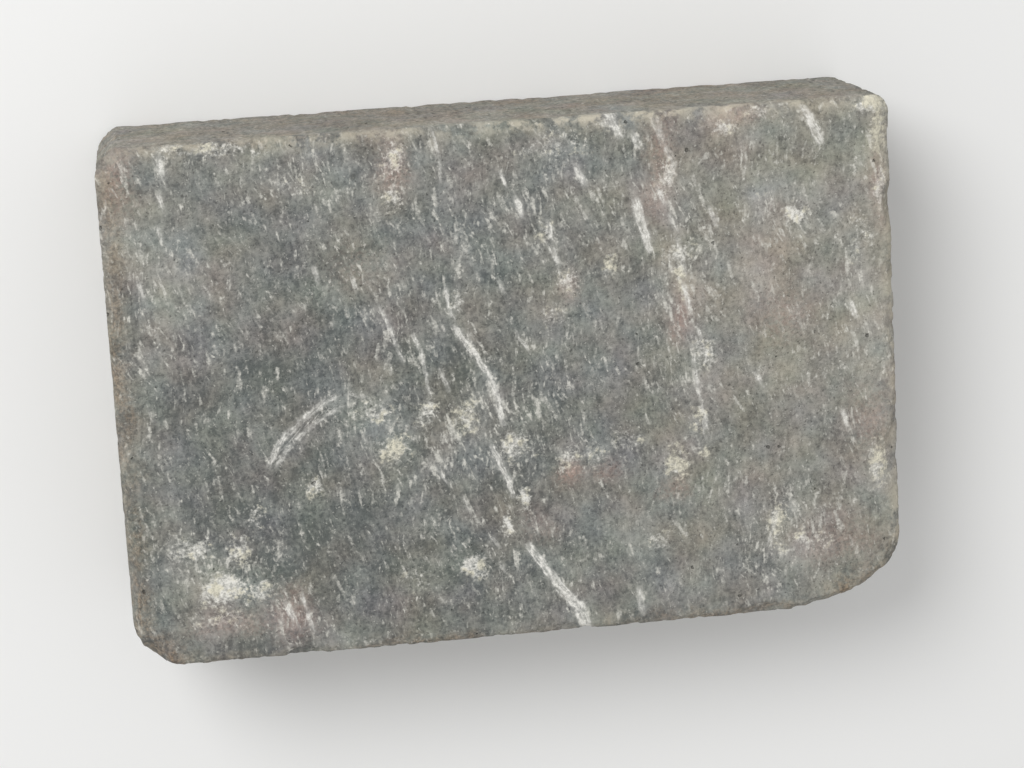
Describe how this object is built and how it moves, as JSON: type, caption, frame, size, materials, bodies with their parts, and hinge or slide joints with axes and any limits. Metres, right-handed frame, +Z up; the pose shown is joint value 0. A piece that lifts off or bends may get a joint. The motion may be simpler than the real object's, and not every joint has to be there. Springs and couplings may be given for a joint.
{
  "type": "concrete paving stone",
  "caption": "Rectangular tumbled concrete block for paving, with worn corners and chipped arrises, laid on a sand bed beside others of its format.",
  "frame": {"origin": "middle of the bed face, which lies on the floor", "axes": "+X along the length, +Y along the width towards the back of the stone, +Z up, out of the walked-on face"},
  "size_m": [0.24, 0.16, 0.06],
  "materials": {
    "concrete": "rough charcoal concrete, worn, scratched and dusty"
  },
  "bodies": {
    "root": {"paving_stone": "concrete"}
  },
  "joints": []
}
